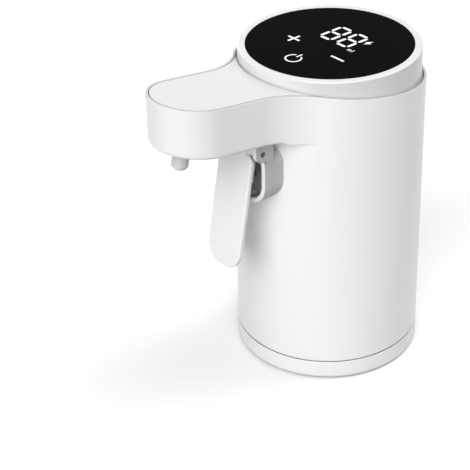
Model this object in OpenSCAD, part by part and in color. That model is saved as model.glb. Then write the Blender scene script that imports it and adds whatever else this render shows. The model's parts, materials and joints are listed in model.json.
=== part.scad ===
// Electric wine dispenser: a round body that sits on a bottle, a spout arm, and a trigger under the arm.
// Millimetres. The origin lies on the body's axis, in the plane that the base stands on.
// The arm points along -Y.

/* [Body] */
// Outer diameter of the round body
body_d = 60; // [58:0.5:64]
// Height of the sloping shoulder at the body's axis
shoulder_h = 98.6; // [97:0.2:104]
// Slope of the shoulder and the arm, rising towards the arm's tip, in degrees
arm_tilt = 8; // [7:0.5:9]
// Wall of the housing
wall = 1.8; // [1.6:0.1:2]
// Height of the seam between the base cover and the housing
seam_h = 7; // [6.4:0.2:8]
// Rounding of the base cover's lower edge
base_round = 1.4; // [1:0.1:2.4]
// Thickness of the base cover's floor
base_floor = 2.5; // [2:0.1:3]
// Height of the dark seam line
seam_line = 0.5; // [0.3:0.1:0.8]

/* [Arm] */
// Distance from the nozzle's axis to the tip of the arm
arm_reach = 8.8; // [6.1:0.1:13.1]
// Width of the arm
arm_w = 26.4; // [25:0.2:28]
// Depth of the arm, square to its slope
arm_depth = 15.6; // [15:0.2:17]
// Radius of the hollow flanks between the arm and the body
flank_r = 24; // [20:1:28]
// Thickness of the arm's floor
floor_t = 2; // [1.6:0.1:2.4]
// Thickness of the lid
lid_t = 2; // [1.6:0.1:2.4]
// Width of the housing's edge that shows around the lid
rim_w = 0.8; // [0.7:0.1:1.1]
// Width of the seam between the lid and the housing's edge
lid_seam = 0.3; // [0.1:0.05:0.4]

/* [Display] */
// Height of the display's top face above the shoulder at the body's axis
display_h = 7.3; // [6.4:0.1:11.4]
// Diameter of the black lens
lens_d = 52; // [50:0.1:53]
// Thickness of the lens
lens_t = 1.6; // [1.2:0.1:2]
// Width of the white bezel's top face
bezel_w = 2.5; // [2:0.1:2.6]
// Width of the groove around the bezel's foot
groove_w = 0.5; // [0.45:0.05:0.7]
// Depth of the groove around the bezel's foot
groove_depth = 0.3; // [0.2:0.05:0.5]
// Width of the ledge that the lens lies on
ledge_w = 3; // [2.8:0.1:3.4]
// Thickness of the ledge
ledge_t = 1.4; // [1:0.1:1.8]
// Thickness of the display board
board_t = 1.6; // [1:0.1:1.8]
// Height of the posts between the ledge and the display board
post_h = 2.5; // [2:0.1:3]
// Depth of the lit symbols in the lens
symbol_t = 0.4; // [0.3:0.1:0.6]

/* [Bottle socket] */
// Bore that guides the bottle's neck
socket_d = 35; // [34:0.2:36]
// Depth of the socket's top, where the inner frame rests, below the shoulder
socket_h = 58.6; // [56.6:0.2:60.6]
// Height at which the guide bore ends
guide_top = 14; // [12:0.5:15]
// Thickness of the socket's top plate
socket_plate = 2; // [1.6:0.1:2.4]
// Diameter of the stopper's ribs, for the inside of the bottle's mouth
stopper_d = 18.4; // [17.8:0.1:19]
// Length of the stopper
stopper_len = 18; // [16:0.5:19]
// Diameter of the inlet pipe
inlet_d = 5; // [4.6:0.1:5.4]

/* [Spout] */
// Distance from the body's axis to the nozzle
nozzle_reach = 58.9; // [57:0.1:60]
// Outer diameter of the nozzle
nozzle_d = 5.2; // [4.8:0.1:5.8]
// Length of the nozzle below the arm
nozzle_drop = 7; // [5:0.1:8]
// Outer diameter of the hoses
hose_d = 6; // [5.6:0.1:6.4]
// Bore of the hoses
hose_bore = 4.1; // [3.8:0.1:4.4]

/* [Trigger] */
// Width of the paddle
paddle_w = 14.9; // [13:0.1:15.6]
// Length of the paddle below its pivot
paddle_len = 40.5; // [36:0.5:42]
// Thickness of the paddle
paddle_t = 1.65; // [1.5:0.05:2]
// Rounding of the paddle's lower corners
paddle_round = 6; // [4:0.1:6.4]
// Rounding of the paddle's upper corners, under its hub
paddle_top_round = 2.5; // [2:0.1:3]
// Lean of the paddle at rest, in degrees
paddle_lean = 10.3; // [9:0.1:11]
// Distance from the body's face to the pivot
pivot_reach = 6.3; // [6:0.1:7]
// Height of the arm's underside above the pivot
pivot_h = 4.05; // [3.55:0.05:4.95]
// Diameter of the hinge pin
pin_d = 1.8; // [1.6:0.1:2]
// Width of the pocket that the trigger swings into
pocket_w = 20.4; // [19.6:0.2:22]
// Distance from the body's face to the pocket's front edge
pocket_reach = 6; // [5.6:0.1:6.2]
// Depth of the pocket's lowest point below the pivot
pocket_low = 19.4; // [18.4:0.1:19.9]
// Rounding of the pocket's lower corners
pocket_round = 8; // [5:0.1:9]
// Depth of the pocket's highest point below the pivot
pocket_head = 0.8; // [0.6:0.1:1.8]
// Rounding of the pocket's upper corners
pocket_top_round = 4.5; // [4:0.1:6]
// Wall of the pocket
pocket_wall = 1.6; // [1.4:0.1:1.8]

/* [Switch] */
// Width of the switch
switch_w = 6.4; // [6:0.1:7]
// Depth of the switch, front to back
switch_depth = 6.5; // [6:0.1:7]
// Height of the switch
switch_h = 12.8; // [12.2:0.1:13]
// Depth of the plunger's axis below the pivot
plunger_h = 11.7; // [11.3:0.1:12.1]
// Diameter of the plunger
plunger_d = 2.4; // [2:0.1:2.6]
// Rest gap between the trigger's nose and the plunger
plunger_gap = 0.4; // [0.3:0.05:0.6]

/* [Pump] */
// Diameter of the motor
motor_d = 22; // [20:0.5:22]
// Length of the motor
motor_len = 30; // [28:0.5:32]
// Diameter of the motor's shaft and of the idler's pin
shaft_d = 2; // [1.8:0.1:2.2]
// Teeth of each pump gear
gear_teeth = 10; // [10:2:12]
// Module of the pump gears
gear_mod = 0.8; // [0.7:0.05:0.8]
// Thickness of the pump gears
gear_h = 5.8; // [5:0.1:6.5]
// Thickness of the pump's cover plate
pump_plate = 2; // [1.6:0.1:2.4]
// Thickness of the pump body above its gears
pump_roof = 8; // [7.5:0.1:9]
// Wall of the pump body around its gears
pump_wall = 3; // [2.8:0.1:3.4]

/* [Power] */
// Diameter of the rechargeable cell
cell_d = 18.3; // [17:0.1:18.6]
// Length of the cell
cell_len = 49.5; // [45:0.5:50]
// Width of the control board
control_w = 26; // [24:0.5:28]
// Thickness of the control board
control_t = 1.6; // [1.2:0.1:1.8]
// Height of the control board
control_h = 40; // [38:0.5:42]
// Width of the charging socket
usb_w = 9; // [8.6:0.1:9.4]
// Depth of the charging socket
usb_depth = 7; // [6.6:0.1:7.4]
// Thickness of the charging socket
usb_t = 3.2; // [2.8:0.1:3.4]
// Height of the charging socket's middle
usb_h = 16; // [15:0.5:20]

/* [Frame] */
// Thickness of the inner frame's disc
frame_t = 2.5; // [2:0.1:3]
// Height of the collar that holds the cell
collar_h = 10; // [8:0.5:10.5]
// Radius of the screw columns
column_r = 2.8; // [2.6:0.1:3]

/* [Fits] */
// Gap between pieces that push together
fit_gap = 0.1; // [0.05:0.05:0.15]
// Radial gap of shafts and pins
run_gap = 0.05; // [0.03:0.01:0.08]
// Radial gap of screws
screw_gap = 0.05; // [0.02:0.01:0.1]
// Diameter of the larger screws
screw_d = 2; // [1.8:0.1:2.2]
// Diameter of the smaller screws
small_screw_d = 1.6; // [1.4:0.1:1.8]

/* [Hidden] */
$fn = 96;

// Colours
white = [0.95, 0.95, 0.95];
black = [0.03, 0.03, 0.035];
glow = [1, 1, 1];
steel = [0.72, 0.73, 0.75];
silicone = [0.85, 0.85, 0.84];
board_green = [0.1, 0.35, 0.2];
clear_grey = [0.82, 0.84, 0.85];
dark_plastic = [0.16, 0.16, 0.18];

// Body and arm
body_r = body_d/2;
inner_r = body_r - wall;
slope = tan(arm_tilt);
low_h = shoulder_h - arm_depth/cos(arm_tilt);
lid_drop = lid_t/cos(arm_tilt);
floor_rise = floor_t/cos(arm_tilt);
arm_tip = nozzle_reach + arm_reach;
tip_reach = arm_tip - arm_w/2;
headroom = 10;
tall = shoulder_h + arm_tip*slope + headroom;
span = 2*tall;
// How far a cut runs past the face that it opens
cut = 1;
// The flanks cut into the body and the arm by this much, so that their edges cross cleanly
blend = 0.03;
flank_x = arm_w/2 + flank_r - blend;
flank_y = -sqrt(pow(body_r + flank_r - blend, 2) - pow(flank_x, 2));
flank_c = [flank_x, flank_y];
flank_root = flank_c*(body_r - 2*wall - 1)/norm(flank_c);

function low_at(reach) = low_h + reach*slope;
// A point given along the arm, towards the body and up from the arm's underside
function arm_point(reach, x, back, up) = [x,
    -reach + back*cos(arm_tilt) + up*sin(arm_tilt),
    low_at(reach) - back*sin(arm_tilt) + up*cos(arm_tilt)];

socket_top = shoulder_h - socket_h;
display_top = shoulder_h + display_h;

// Base
spigot_t = 1.6;
spigot_top = seam_h + 2.5;
spigot_r = inner_r - fit_gap;
seam_depth = 0.6;
socket_wall = 1.5;
socket_step = 1;
socket_out_r = socket_d/2 + socket_wall;
base_hole_r = socket_out_r + fit_gap;
socket_body_r = socket_out_r + socket_step;
socket_relief = 0.7;
head_recess = 0.3;
column_angles = [45, 135, 270];
column_reach = socket_body_r + column_r + 0.4;
column_rib = 2;

// Screws: heads are this much wider and this tall
head_ratio = 1.9;
head_ratio_h = 0.62;
base_screw_len = 12;
frame_screw_len = 9;
head_h = screw_d*head_ratio_h;
head_r = screw_d*head_ratio/2;
small_head_h = small_screw_d*head_ratio_h;
small_head_r = small_screw_d*head_ratio/2;

// Stopper and inlet
stopper_top = socket_top - socket_plate;
stopper_low = stopper_top - stopper_len;
stopper_core_r = stopper_d/2 - 0.7;
stopper_ribs = 4;
rib_h = 1.6;
rib_start = 1;
gasket_t = 2.5;
rib_pitch = (stopper_len - gasket_t - rib_h - rib_start)/(stopper_ribs - 1);
gasket_in_r = stopper_d/2 + 0.5;
gasket_out_r = socket_d/2 - 1;
inlet_r = inlet_d/2;
inlet_bore_r = 1.4;
inlet_flange_r = 5.5;
inlet_flange_t = 1.5;
inlet_barb_r = inlet_r + 1.1;
inlet_barb_h = 5;
barb_r = hose_bore/2 - run_gap;
barb_len = 5;
barb_cut = 5;
vent_r = 1;
vent_reach = 12.5;

// Inner frame and pump
frame_top = socket_top + frame_t;
frame_r = inner_r - 0.3;
frame_hole_r = inlet_flange_r + 1;
hose_room = 0.5;
motor_r = motor_d/2;
pump_x = inner_r - motor_r - 1.7;
gear_pitch_r = gear_teeth*gear_mod/2;
gear_tip_r = gear_pitch_r + 0.85*gear_mod;
gear_root_r = gear_pitch_r - 1.15*gear_mod;
gear_root_w = 2*gear_mod;
gear_tip_w = 0.65*gear_mod;
gear_end_gap = 0.1;
chamber_gap = 0.3;
pump_r = gear_tip_r + chamber_gap + pump_wall;
chamber_h = gear_h + 2*gear_end_gap;
chamber_low = frame_top + pump_plate;
chamber_top = chamber_low + chamber_h;
pump_top = chamber_top + pump_roof;
pin_hold = 2.5;
motor_boss_r = 4;
motor_boss_h = 1.5;
port_x = gear_pitch_r - 0.3;
port_r = 2;
channel_r = 1.4;
channel_h = pump_top - 2.6;
inlet_port_h = 5;
inlet_port_low = pump_top - inlet_port_h;
inlet_port_w = 7;
outlet_x = pump_x + port_x;
outlet_w = 5.8;
outlet_y = -(gear_pitch_r + pump_r + 1.2);
pump_screw_x = (gear_tip_r + chamber_gap + pump_r)/2;
pump_screw_y = gear_pitch_r;
pump_screw_bite = 5;
pump_screw_len = frame_t - head_h + pump_plate + chamber_h + pump_screw_bite;
motor_top = pump_top + motor_len;
shaft_low = chamber_low + 0.4;
shaft_top = motor_top - 3;

// Hose route: barb of the pump, up past the motor, over into the arm and out to the nozzle's barb
nozzle_r = nozzle_d/2;
nozzle_flange_r = nozzle_r + 1.5;
nozzle_flange_t = 1.4;
nozzle_elbow_h = 7.2;
nozzle_block_r = 3.4;
nozzle_bore_r = 1.7;
nozzle_bevel = 0.7;
hose_in = [outlet_x, outlet_y, pump_top];
hose_out = arm_point(nozzle_reach, 0, nozzle_block_r, nozzle_elbow_h);
arm_back = [0, cos(arm_tilt), -sin(arm_tilt)];
hose_wall_gap = 1.8;
// Point of the hose beside the housing's wall, at a turn about the axis and a depth below the shoulder
function beside_wall(turn, depth) = let (r = inner_r - hose_d/2 - hose_wall_gap)
    [r*cos(turn), r*sin(turn), shoulder_h - depth];
hose_rise = [6, 16];
hose_turns = [-39, -58];
hose_depths = [16.6, 9.1];
hose_entry = [4.5, 5];
hose_lead = [14, 7];
hose_route = [hose_in, hose_in + [0, 0, hose_rise[0]], hose_in + [0, 0, hose_rise[1]],
    beside_wall(hose_turns[0], hose_depths[0]), beside_wall(hose_turns[1], hose_depths[1]),
    [hose_entry[0], -body_r, shoulder_h - hose_entry[1]],
    hose_out + hose_lead[0]*arm_back, hose_out + hose_lead[1]*arm_back, hose_out];
hose_steps = 3;
hose_sides = 12;
// The bore's flats clear the barbs
hose_flat_r = hose_bore/2/cos(180/hose_sides);

// Cell and boards
cell_r = cell_d/2;
cell_x = -(inner_r - cell_r - 3.5);
collar_t = 1.7;
collar_gap = 0.2;
cell_cap_h = 1;
upright_w = 3;
upright_x = 6;
upright_t = 3;
board_gap = 1.9;
board_y = sqrt(pow(inner_r, 2) - pow(control_w/2, 2)) - control_t - board_gap;
upright_y = board_y - upright_t;
board_screw_h = [8, 34];
usb_rib_w = 2;
usb_shell = 0.4;
usb_board_t = 1.2;
usb_recess = 0.6;
usb_board_y = body_r - usb_recess - usb_depth;
usb_board_w = 16;
usb_board_h = 12;
usb_hold = 3;
usb_screw_room = 5;
usb_cut = 3;
usb_rib_x = 6;

// Display
lens_r = lens_d/2;
bezel_r = lens_r + bezel_w;
window_r = lens_r - ledge_w;
ledge_top = display_top - lens_t;
ledge_low = ledge_top - ledge_t;
board_room_r = lens_r + 0.2;
board_top = ledge_low - post_h;
board_low = board_top - board_t;
post_r = 1.5;
post_reach = (window_r + board_room_r)/2;
post_angles = [30, 150, 270];
symbol_gap = 0.04;
digit_h = 9.4;
digit_w = 4.6;
digit_pitch = 7.2;
digit_y = 5.7;
digit_x = 0.4;
stroke = 1;
segment_gap = 0.36;
plus_at = [-9.4, -6.3];
minus_at = [10.3, -6.5];
plus_len = 4.9;
minus_len = 5.4;
mark_stroke = 0.74;
power_at = [1.1, -16];
power_r = 2.45;
power_stroke = 0.5;
power_bar = 2.4;
bolt_at = [8.7, 8];
bolt_corners = [[0.5, 1.75], [-1.15, -0.25], [0.32, -0.25]];
bolt_mid = (bolt_corners[0] + bolt_corners[1] + bolt_corners[2])/3;
// Least distance from the middle of a bolt's triangle to its edges
bolt_edge = 0.36;
unit_at = [9, 0.2];

// Lid screws through the arm's floor
lid_screw_reach = 46;
lid_screw_x = 7.6;
lid_boss_r = 2.6;
lid_pad_h = 1.6;
lid_screw_len = 7;

// Trigger, its pocket and its switch
pivot_out = body_r + pivot_reach;
pivot_up = low_at(pivot_out) - pivot_h;
pocket_front = body_r + pocket_reach;
pocket_bottom = pivot_up - pocket_low;
plunger_up = pivot_up - plunger_h;
pin_r = pin_d/2;
pin_recess = 1.2;
hub_r = 1.7;
hub_front = 1.75;
hub_slot = 0.5;
paddle_back = paddle_t - hub_front;
pad_w = 11.6;
pad_top = -3.5;
pad_low = -11;
pad_depth = 1.6;
nose_w = 4.4;
nose_top = -9;
nose_low = -13.2;
nose_depth = 4.4;
nose_mid = (nose_top + nose_low)/2;
nose_y = -pivot_out + nose_depth*cos(paddle_lean) + nose_mid*sin(paddle_lean);
plunger_tip = nose_y + plunger_gap;
plunger_r = plunger_d/2;
plunger_len = 9.5;
plunger_bevel = 0.4;
plunger_hole_r = plunger_r + 0.3;
pocket_back = body_r + 1.8;
pocket_top = pivot_up - pocket_head;
ear_r = 2.7;
ear_low = pocket_top - pocket_top_round - 1;
ear_inset = 0.8;
ear_back = 4.2;
pocket_slot_w = paddle_w + 1.2;
plug_w = 8.4;
plug_low = pocket_bottom + 0.8;
plug_h = plunger_up + switch_h/2 + 1.4 - plug_low;
plug_rear = inner_r - 0.8;
switch_low = plunger_up - switch_h/2;
switch_screw_off = 4.9;
switch_back = 1.2;
bracket_screw_x = 6.8;
bracket_screw_h = plunger_up + 1.8;
bracket_pad = inner_r - 2;
bracket_pad_w = 3.6;
bracket_screw_len = 4.8;
spring_r = 1.9;
spring_wire_r = 0.25;
spring_turns = 3;
spring_rings = 8;
spring_drop = 6;
spring_h = pivot_up - spring_drop;
spring_start = -pocket_back - spring_wire_r - 0.05;
spring_end = -pivot_out + pad_depth*cos(paddle_lean) - spring_drop*tan(paddle_lean)
    + spring_wire_r + 0.4;

// Half spaces above and below the sloping plane that meets the axis at height z
module above(z) {
    translate([0, 0, z]) rotate([-arm_tilt, 0, 0]) translate([-span, -span, 0]) cube([2*span, 2*span, span]);
}

module below(z) {
    translate([0, 0, z]) rotate([-arm_tilt, 0, 0]) translate([-span, -span, -span])
        cube([2*span, 2*span, span]);
}

// Frame on the arm's underside: z is square to the arm, y runs back to the body
module on_arm(reach) {
    translate([0, -reach, low_at(reach)]) rotate([-arm_tilt, 0, 0]) children();
}

// Frame of the trigger's pivot at rest: z runs up along the paddle
module on_trigger() {
    translate([0, -pivot_out, pivot_up]) rotate([-paddle_lean, 0, 0]) children();
}

module ring(outer, inner, h) {
    difference() {
        cylinder(r = outer, h = h);
        translate([0, 0, -1]) cylinder(r = inner, h = h + 2);
    }
}

module along_x(r, len) {
    rotate([0, 90, 0]) cylinder(r = r, h = len, center = true);
}

// Cylinder that starts at the origin and runs along -Y
module forward(r, len) {
    rotate([90, 0, 0]) cylinder(r = r, h = len);
}

// Screw whose head stands on the plane z = 0 and whose shank runs down
module screw(d, len) {
    difference() {
        cylinder(d = d*head_ratio, h = d*head_ratio_h);
        translate([0, 0, d*head_ratio_h/2]) cylinder(d = d*0.9, h = d, $fn = 6);
    }
    translate([0, 0, -len]) cylinder(d = d, h = len);
}

module screw_hole(d, len) {
    translate([0, 0, -len]) cylinder(r = d/2 + screw_gap, h = len + d);
}

module at_columns() {
    for (a = column_angles) rotate([0, 0, a]) translate([column_reach, 0, 0]) children();
}

// Plan of the arm with its round tip and hollow flanks, drawn in from the outside by an inset
module arm_plan(inset) {
    half = arm_w/2 - inset;
    translate([-half, -tip_reach]) square([2*half, tip_reach]);
    translate([0, -tip_reach]) circle(half);
    for (side = [0, 1]) mirror([side, 0]) difference() {
        polygon([[0, -body_r/2], flank_root, flank_c, [half - 1, flank_y]]);
        translate(flank_c) circle(flank_r + inset);
    }
}

// Body circle and arm together, as an upright prism
module plan_prism(inset) {
    cylinder(r = body_r - inset, h = tall);
    linear_extrude(tall) arm_plan(inset);
}

module main_housing() {
    color(white) difference() {
        union() {
            housing_shell();
            at_columns() column();
            for (side = [-1, 1]) usb_rib(side);
            for (side = [-1, 1]) bracket_pad(side);
            for (side = [-1, 1]) on_arm(lid_screw_reach) translate([side*lid_screw_x, 0, floor_t/2])
                cylinder(r = lid_boss_r + 0.6, h = floor_t/2 + lid_pad_h);
        }
        at_columns() {
            translate([0, 0, base_floor - 1]) cylinder(r = screw_d/2 + screw_gap, h = base_screw_len + 1);
            translate([0, 0, socket_top]) screw_hole(screw_d, frame_screw_len);
        }
        plug_window();
        at_bracket_screws() rotate([-90, 0, 0]) screw_hole(small_screw_d, bracket_screw_len + 2);
        at_usb() usb_hole();
        on_arm(nozzle_reach) translate([0, 0, -1]) cylinder(r = nozzle_r + fit_gap, h = floor_t + 2);
        at_lid_screws() {
            translate([0, 0, -1]) cylinder(r = head_r + fit_gap, h = 1 + head_h + 0.2);
            cylinder(r = screw_d/2 + screw_gap, h = floor_t + lid_pad_h + 1);
        }
        at_usb_screws() translate([0, 0, -1]) cylinder(r = small_screw_d/2 + screw_gap, h = usb_screw_room);
    }
}

module housing_shell() {
    difference() {
        union() {
            translate([0, 0, seam_h]) cylinder(r = body_r, h = tall);
            difference() {
                translate([0, 0, seam_h]) linear_extrude(tall) arm_plan(0);
                below(low_h);
            }
        }
        above(shoulder_h);
        translate([0, 0, seam_h - 1]) cylinder(r = inner_r, h = tall);
        difference() {
            linear_extrude(2*tall) arm_plan(wall);
            below(low_h + floor_rise);
        }
        intersection() {
            above(shoulder_h - lid_drop);
            plan_prism(rim_w);
        }
    }
}

module column() {
    translate([0, 0, base_floor]) cylinder(r = column_r, h = socket_top - base_floor);
    translate([0, -column_rib/2, spigot_top + fit_gap])
        cube([inner_r - column_reach + wall/2, column_rib, socket_top - spigot_top - fit_gap]);
}

module usb_rib(side) {
    translate([side*(usb_rib_x + usb_rib_w/2) - usb_rib_w/2, usb_board_y, usb_h - usb_board_h/2])
        cube([usb_rib_w, sqrt(pow(inner_r, 2) - pow(usb_rib_x, 2)) - usb_board_y + wall/2, usb_board_h]);
}

module bracket_pad(side) {
    translate([side*bracket_screw_x - bracket_pad_w/2, -inner_r, bracket_screw_h - bracket_pad_w/2])
        cube([bracket_pad_w, inner_r - bracket_pad, bracket_pad_w]);
}

module plug_window() {
    translate([-plug_w/2 - fit_gap, -body_r - wall, plug_low - fit_gap])
        cube([plug_w + 2*fit_gap, 2*wall + 4, plug_h + 2*fit_gap]);
}

module at_bracket_screws() {
    for (side = [-1, 1]) translate([side*bracket_screw_x, -bracket_pad, bracket_screw_h]) children();
}

module at_lid_screws() {
    on_arm(lid_screw_reach) for (side = [-1, 1]) translate([side*lid_screw_x, 0, 0]) children();
}

module at_usb() {
    translate([0, 0, usb_h]) children();
}

module at_usb_screws() {
    for (side = [-1, 1]) translate([side*(usb_rib_x + usb_rib_w/2), usb_board_y, usb_h]) rotate([-90, 0, 0])
        children();
}

// Port in the back wall, the charging socket's outline with a gap
module usb_hole() {
    half = usb_t/2 + fit_gap;
    run = usb_w/2 - usb_t/2;
    for (side = [-1, 1]) translate([side*run, body_r + 1, 0]) forward(half, wall + usb_cut + 2);
    translate([-run, inner_r - usb_cut, -half]) cube([2*run, wall + usb_cut + 1, 2*half]);
}

module top_cover() {
    color(white) difference() {
        union() {
            intersection() {
                above(shoulder_h - lid_drop);
                below(shoulder_h);
                plan_prism(rim_w + lid_seam);
            }
            difference() {
                cylinder(r = bezel_r, h = display_top);
                below(shoulder_h - lid_drop);
            }
            at_lid_screws() translate([0, 0, floor_t + lid_pad_h])
                cylinder(r = lid_boss_r, h = arm_depth - lid_t/2 - floor_t - lid_pad_h);
            for (a = post_angles) rotate([0, 0, a]) translate([post_reach, 0, board_top]) post();
        }
        translate([0, 0, ledge_top]) cylinder(r = lens_r + fit_gap, h = lens_t + 1);
        translate([0, 0, ledge_low - 1]) cylinder(r = window_r, h = ledge_t + 2);
        intersection() {
            above(shoulder_h - groove_depth);
            ring(bezel_r + groove_w, bezel_r, tall);
        }
        difference() {
            cylinder(r = board_room_r, h = ledge_low);
            for (a = post_angles) rotate([0, 0, a]) translate([post_reach, 0, board_top]) post();
        }
        at_lid_screws() translate([0, 0, floor_t]) cylinder(r = screw_d/2 + screw_gap, h = lid_screw_len);
        at_display_screws() translate([0, 0, -1])
            cylinder(r = small_screw_d/2 + screw_gap, h = post_h + 0.6);
    }
}

module post() {
    cylinder(r = post_r, h = post_h + ledge_t/2);
}

module at_display_screws() {
    for (a = post_angles) rotate([0, 0, a]) translate([post_reach, 0, board_top]) children();
}

module base_cover() {
    color(white) difference() {
        rotate_extrude() base_profile();
        at_columns() {
            translate([0, 0, -1]) cylinder(r = screw_d/2 + screw_gap, h = base_floor + 2);
            translate([0, 0, -1]) cylinder(r = head_r + fit_gap, h = 1 + head_h + head_recess);
            translate([0, 0, base_floor]) cylinder(r = column_r + fit_gap, h = seam_h);
        }
    }
}

module base_profile() {
    wall_in = spigot_r - spigot_t;
    translate([base_hole_r, 0]) square([body_r - base_round - base_hole_r, base_floor]);
    translate([body_r - base_round, base_round]) intersection() {
        circle(base_round);
        translate([0, -base_round]) square(base_round);
    }
    translate([wall_in, base_floor/2]) square([body_r - base_round - wall_in, seam_h - base_floor/2]);
    translate([wall_in, base_round]) square([body_r - wall_in, seam_h - seam_line - base_round]);
    translate([wall_in, base_round]) square([body_r - seam_depth - wall_in, seam_h - base_round]);
    translate([wall_in, base_round]) square([spigot_t, spigot_top - base_round]);
}

module bottle_socket() {
    color(silicone) difference() {
        union() {
            cylinder(r = socket_out_r, h = socket_top);
            translate([0, 0, base_floor]) cylinder(r = socket_body_r, h = socket_top - base_floor);
        }
        translate([0, 0, -1]) cylinder(r = socket_d/2, h = guide_top + 1);
        translate([0, 0, guide_top]) cylinder(r = socket_d/2 + socket_relief, h = stopper_top - guide_top);
        cylinder(r = inlet_r + fit_gap, h = socket_top + 1);
        translate([0, vent_reach, 0]) cylinder(r = vent_r, h = socket_top + 1);
    }
}

module bottle_stopper() {
    color(silicone) difference() {
        union() {
            translate([0, 0, stopper_low]) cylinder(r = stopper_core_r, h = stopper_len);
            for (i = [0:stopper_ribs - 1])
                translate([0, 0, stopper_low + rib_start + i*rib_pitch])
                    cylinder(r1 = stopper_core_r - 0.1, r2 = stopper_d/2, h = rib_h);
        }
        cylinder(r = inlet_r + fit_gap, h = socket_top);
    }
}

module seat_gasket() {
    color(silicone) translate([0, 0, stopper_top - gasket_t]) difference() {
        ring(gasket_out_r, gasket_in_r, gasket_t);
        translate([0, vent_reach, -1]) cylinder(r = vent_r, h = gasket_t + 2);
    }
}

module inlet_fitting() {
    color(steel) difference() {
        union() {
            translate([0, 0, stopper_low]) cylinder(r = inlet_r, h = socket_top - stopper_low);
            translate([0, 0, socket_top]) cylinder(r = inlet_flange_r, h = inlet_flange_t);
            translate([0, 0, socket_top]) cylinder(r = barb_r, h = inlet_flange_t + barb_len);
            translate([0, 0, stopper_low - inlet_barb_h])
                cylinder(r1 = inlet_r - 0.3, r2 = inlet_barb_r, h = inlet_barb_h);
        }
        translate([0, 0, stopper_low - inlet_barb_h - 1]) cylinder(r = inlet_bore_r, h = tall);
    }
}

module suction_hose() {
    low = socket_top + inlet_flange_t;
    color(clear_grey) translate([0, 0, low]) ring(hose_d/2, hose_bore/2, inlet_port_low - low);
}

module inner_frame() {
    color(dark_plastic) difference() {
        union() {
            translate([0, 0, socket_top]) cylinder(r = frame_r, h = frame_t);
            translate([cell_x, 0, socket_top])
                cylinder(r = cell_r + collar_gap + collar_t, h = frame_t + collar_h);
            for (side = [-1, 1])
                translate([side*(upright_x + upright_w/2) - upright_w/2, upright_y, socket_top])
                    cube([upright_w, board_y - upright_y, frame_t + control_h]);
        }
        translate([0, 0, socket_top - cut]) cylinder(r = frame_hole_r, h = frame_t + 2*cut);
        cylinder(r = hose_d/2 + hose_room, h = tall);
        translate([cell_x, 0, frame_top]) cylinder(r = cell_r + collar_gap, h = collar_h + 1);
        at_columns() translate([0, 0, frame_top]) screw_hole(screw_d, frame_t + 1);
        at_pump_screws() {
            translate([0, 0, socket_top - 1]) cylinder(r = screw_d/2 + screw_gap, h = frame_t + 2);
            translate([0, 0, socket_top - 1]) cylinder(r = head_r + fit_gap, h = 1 + head_h);
        }
        at_board_screws() screw_hole(small_screw_d, board_y - upright_y + 1);
    }
}

module at_pump_screws() {
    for (sx = [-1, 1]) for (sy = [-1, 1])
        translate([pump_x + sx*pump_screw_x, sy*pump_screw_y, 0]) children();
}

module at_board_screws() {
    for (side = [-1, 1]) for (h = board_screw_h)
        translate([side*(upright_x + upright_w/2), board_y, frame_top + h]) rotate([-90, 0, 0]) children();
}

module at_gears() {
    for (sy = [-1, 1]) translate([pump_x, sy*gear_pitch_r, 0]) children();
}

// Outline of the pump body and its cover plate
module pump_block(h) {
    at_gears() cylinder(r = pump_r, h = h);
    translate([pump_x - pump_r, -gear_pitch_r, 0]) cube([2*pump_r, 2*gear_pitch_r, h]);
}

module pump_cover() {
    color(dark_plastic) translate([0, 0, frame_top]) difference() {
        pump_block(pump_plate);
        at_pump_screws() translate([0, 0, -1]) cylinder(r = screw_d/2 + screw_gap, h = pump_plate + 2);
        translate([pump_x, -gear_pitch_r, pump_plate/2]) cylinder(r = shaft_d/2 + run_gap/2, h = pump_plate);
    }
}

module pump_body() {
    color(dark_plastic) difference() {
        union() {
            translate([0, 0, chamber_low]) pump_block(pump_top - chamber_low);
            translate([-inlet_port_w/2, -inlet_port_w/2, inlet_port_low])
                cube([pump_x - pump_r/2 + inlet_port_w/2, inlet_port_w, pump_top - inlet_port_low]);
            translate([0, 0, inlet_port_low - barb_len]) cylinder(r = barb_r, h = barb_len + 1);
            translate([outlet_x - outlet_w/2, outlet_y - outlet_w/2, chamber_top])
                cube([outlet_w, outlet_w/2 - outlet_y - gear_pitch_r, pump_top - chamber_top]);
            translate([outlet_x, outlet_y, pump_top - 1]) cylinder(r = barb_r, h = barb_len + 1);
        }
        at_gears() translate([0, 0, chamber_low - 1])
            cylinder(r = gear_tip_r + chamber_gap, h = chamber_h + 1);
        for (sx = [-1, 1]) translate([pump_x + sx*port_x, 0, chamber_low - 1])
            cylinder(r = port_r, h = chamber_h + 1);
        pump_channels();
        translate([pump_x, gear_pitch_r, chamber_low]) cylinder(r = shaft_d/2 + run_gap, h = tall);
        translate([pump_x, gear_pitch_r, pump_top - motor_boss_h])
            cylinder(r = motor_boss_r + fit_gap, h = motor_boss_h + 1);
        translate([pump_x, -gear_pitch_r, chamber_low])
            cylinder(r = shaft_d/2 + run_gap/2, h = chamber_h + pin_hold + 0.5);
        at_pump_screws() translate([0, 0, chamber_low - 1])
            cylinder(r = screw_d/2 + screw_gap, h = pump_screw_len - pump_plate + 1.5);
    }
}

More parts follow.
